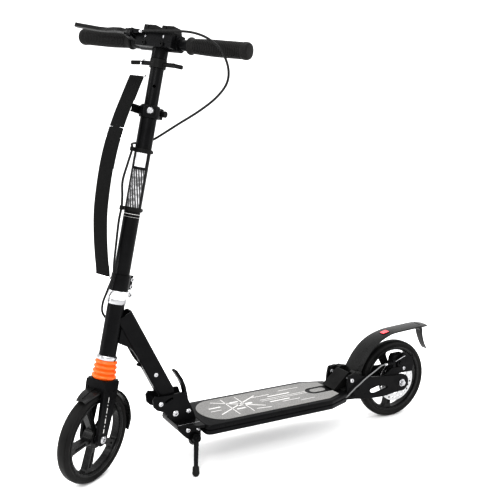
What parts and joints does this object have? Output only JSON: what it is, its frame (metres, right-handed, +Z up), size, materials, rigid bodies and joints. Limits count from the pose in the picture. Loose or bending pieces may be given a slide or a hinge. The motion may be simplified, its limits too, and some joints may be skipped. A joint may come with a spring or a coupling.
{
  "type": "kick scooter",
  "caption": "Folding kick scooter with large wheels, sprung fork, telescoping handlebar, hand disc brake, foot brake, kickstand and carry strap.",
  "frame": {"origin": "on the ground under the middle of the scooter's bounding box", "axes": "+X is the direction of travel, +Y the rider's left, +Z up"},
  "size_m": [0.9987, 0.3642, 0.9581],
  "materials": {
    "frame_black": "satin black paint",
    "gloss_black": "glossy moulded plastic",
    "plastic_black": "fine moulded texture",
    "grip_rubber": "soft ribbed rubber",
    "tyre_black": "smooth cast tyre",
    "bellows_orange": "orange rubber",
    "bright_steel": "bright zinc-plated steel",
    "chrome_wire": "polished wire",
    "brushed_alloy": "brushed aluminium",
    "disc_steel": "turned disc",
    "grip_tape_grey": "gritty sheet with pale line marks",
    "webbing_black": "woven webbing",
    "cable_black": "smooth cable jacket",
    "cable_grey": "smooth cable jacket",
    "elastomer": "solid urethane",
    "reflector_red": "prismatic reflector"
  },
  "bodies": {
    "deck_frame": {"deck": "frame_black", "grip_tape": "grip_tape_grey", "front_bracket": "frame_black", "hinge_plate_left": "frame_black", "hinge_plate_right": "frame_black", "fold_pivot_bolt": "bright_steel", "deck_bolts": "bright_steel", "rear_block": "plastic_black", "rear_arm_left": "frame_black", "rear_arm_right": "frame_black", "rear_axle": "bright_steel", "fender_pivot": "bright_steel", "brake_caliper": "frame_black", "brake_cable_rear": "cable_grey"},
    "front_frame": {"hinge_knuckle": "frame_black", "down_tube": "frame_black", "head_tube": "frame_black", "headset": "bright_steel", "brake_cable_frame": "cable_black"},
    "release_lever": {"release_lever": "frame_black"},
    "column": {"steerer_tube": "bright_steel", "headset_clamp": "brushed_alloy", "column_collar": "frame_black", "lower_column": "frame_black", "clamp_bolts": "bright_steel", "qr_clamp": "frame_black", "qr_axle": "bright_steel", "cable_clips": "plastic_black", "suspension_elastomer": "elastomer", "brake_cable_upper": "cable_black", "carry_strap": "webbing_black", "strap_hook_lower": "chrome_wire"},
    "qr_lever": {"qr_lever": "plastic_black"},
    "height_button": {"height_button": "bright_steel"},
    "fork": {"fork": "frame_black", "fork_stanchion": "bright_steel", "fork_bellows": "bellows_orange", "front_fender": "gloss_black", "front_axle": "bright_steel"},
    "front_wheel": {"front_tyre": "tyre_black", "front_rim": "gloss_black", "front_bearings": "bright_steel"},
    "rear_wheel": {"rear_tyre": "tyre_black", "rear_rim": "gloss_black", "rear_bearings": "bright_steel", "brake_rotor": "disc_steel"},
    "tbar": {"upper_tube": "frame_black", "bar_block": "frame_black", "handlebar": "frame_black", "grip_left": "grip_rubber", "grip_right": "grip_rubber", "bar_clamps": "plastic_black", "strap_bracket": "plastic_black", "strap_hook_upper": "chrome_wire", "brake_perch": "frame_black"},
    "brake_lever": {"brake_lever": "gloss_black"},
    "caliper_arm": {"caliper_arm": "frame_black"},
    "kickstand": {"kickstand_leg": "frame_black", "kickstand_foot": "grip_rubber"},
    "rear_fender": {"rear_fender": "gloss_black"}
  },
  "joints": [
    {"name": "fold", "type": "hinge", "parent": "deck_frame", "child": "front_frame", "pos_m": [0.231, 0, 0.125], "axis": [0, -1, 0], "range_deg": [0, 78]},
    {"name": "fold_release", "type": "hinge", "parent": "deck_frame", "child": "release_lever", "pos_m": [0.2, 0, 0.125], "axis": [0, -1, 0], "range_deg": [0, 72]},
    {"name": "steering", "type": "hinge", "parent": "front_frame", "child": "column", "pos_m": [0.36336, 0, 0.32522], "axis": [-0.2028, 0, 0.9792], "range_deg": [-77, 12], "deforming": ["brake_cable_frame"]},
    {"name": "bar_height", "type": "slide", "parent": "column", "child": "tbar", "axis": [-0.2028, 0, 0.9792], "range_m": [-0.05, 0.05], "deforming": ["brake_cable_upper", "carry_strap"]},
    {"name": "clamp_lever", "type": "hinge", "parent": "column", "child": "qr_lever", "pos_m": [0.26056, -0.03117, 0.77369], "axis": [0.2028, 0, -0.9792], "range_deg": [0, 110]},
    {"name": "height_button_pull", "type": "slide", "parent": "column", "child": "height_button", "axis": [0.3565, 0.9314, 0.0738], "range_m": [0, 0.004], "stiffness_N_per_m": 300},
    {"name": "suspension", "type": "slide", "parent": "column", "child": "fork", "axis": [-0.2028, 0, 0.9792], "range_m": [0, 0.012], "stiffness_N_per_m": 8000, "springref_m": -0.02, "deforming": ["fork_bellows", "suspension_elastomer"]},
    {"name": "front_wheel_spin", "type": "hinge", "parent": "fork", "child": "front_wheel", "pos_m": [0.41, 0, 0.1], "axis": [-0.5283, 0.842, -0.1094], "continuous": true},
    {"name": "rear_wheel_spin", "type": "hinge", "parent": "deck_frame", "child": "rear_wheel", "pos_m": [-0.386, 0, 0.1], "axis": [0, 1, 0], "continuous": true},
    {"name": "brake_squeeze", "type": "hinge", "parent": "tbar", "child": "brake_lever", "pos_m": [0.29956, -0.02999, 0.93261], "axis": [0.3962, 0.1305, -0.9088], "range_deg": [0, 11], "stiffness_Nm_per_rad": 0.6},
    {"name": "caliper_pull", "type": "hinge", "parent": "deck_frame", "child": "caliper_arm", "pos_m": [-0.382, 0.042, 0.152], "axis": [0, 1, 0], "range_deg": [0, 18]},
    {"name": "kickstand_fold", "type": "hinge", "parent": "deck_frame", "child": "kickstand", "pos_m": [0.194, 0.047, 0.068], "axis": [0, 0.8796, 0.4756], "range_deg": [0, 88]},
    {"name": "foot_brake", "type": "hinge", "parent": "deck_frame", "child": "rear_fender", "pos_m": [-0.228, 0, 0.131], "axis": [0, -1, 0], "range_deg": [0, 9], "stiffness_Nm_per_rad": 6, "springref_deg": -8.59}
  ],
  "couplings": [
    {"joint": "fold_release", "follows": "fold", "ratio": 0.92},
    {"joint": "caliper_pull", "follows": "brake_squeeze", "ratio": 1.6}
  ]
}
